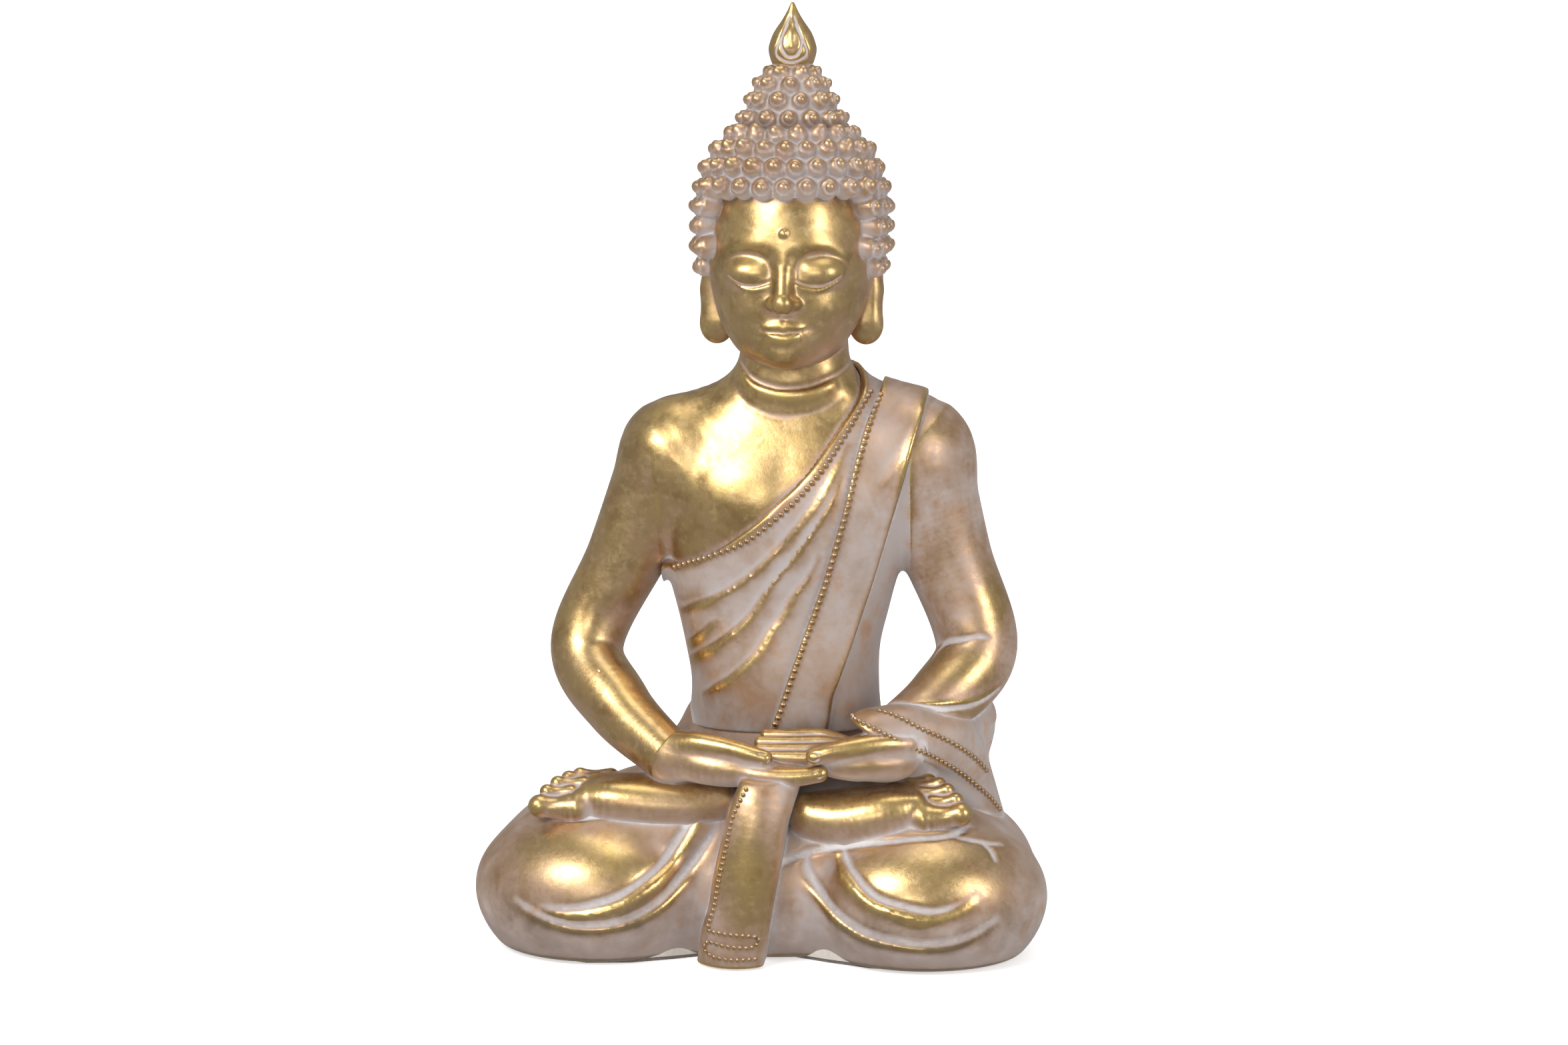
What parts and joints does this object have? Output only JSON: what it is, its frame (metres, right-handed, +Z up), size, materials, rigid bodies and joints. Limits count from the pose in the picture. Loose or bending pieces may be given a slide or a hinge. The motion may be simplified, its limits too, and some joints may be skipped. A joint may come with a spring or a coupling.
{
  "type": "seated buddha statue",
  "caption": "Seated meditating buddha figure with curled hair, flame finial and draped robe, a hollow cast resin ornament with a felt underside.",
  "frame": {"origin": "on the underside of the felt sheet, under the middle of the crossed legs", "axes": "+Z up through the head, the figure faces -Y, +X is the figure's own left side"},
  "size_m": [0.2412, 0.1417, 0.4],
  "materials": {
    "gold_skin": "satin",
    "washed_robe": "matte",
    "washed_hair": "matte",
    "gold_beads": "satin",
    "raw_resin": "matte",
    "plaster": "matte",
    "steel": "satin",
    "rubber": "matte",
    "felt": "matte"
  },
  "bodies": {
    "root": {"lap_casting": "washed_robe", "torso_casting": "gold_skin", "head_casting": "gold_skin", "hair_cap": "washed_hair", "flame_finial": "gold_skin", "right_ear": "gold_skin", "left_ear": "gold_skin", "right_arm_casting": "gold_skin", "left_arm_casting": "washed_robe", "right_hand_casting": "gold_skin", "left_hand_casting": "gold_skin", "right_foot_casting": "gold_skin", "left_foot_casting": "gold_skin", "robe_wrap": "washed_robe", "shoulder_sash": "washed_robe", "lap_sash": "washed_robe", "sleeve_drape": "washed_robe", "robe_hem_beads": "gold_beads", "sash_edge_beads": "gold_beads", "lap_sash_beads": "gold_beads", "cuff_upper_beads": "gold_beads", "cuff_lower_beads": "gold_beads", "base_plate": "raw_resin", "pour_hole_bung": "rubber", "felt_sheet": "felt", "plaster_ballast": "plaster", "neck_dowel": "steel", "finial_pin": "steel", "right_shoulder_dowel": "steel", "left_shoulder_dowel": "steel", "right_waist_dowel": "steel", "left_waist_dowel": "steel", "right_wrist_pin": "steel", "left_wrist_pin": "steel"}
  },
  "joints": []
}
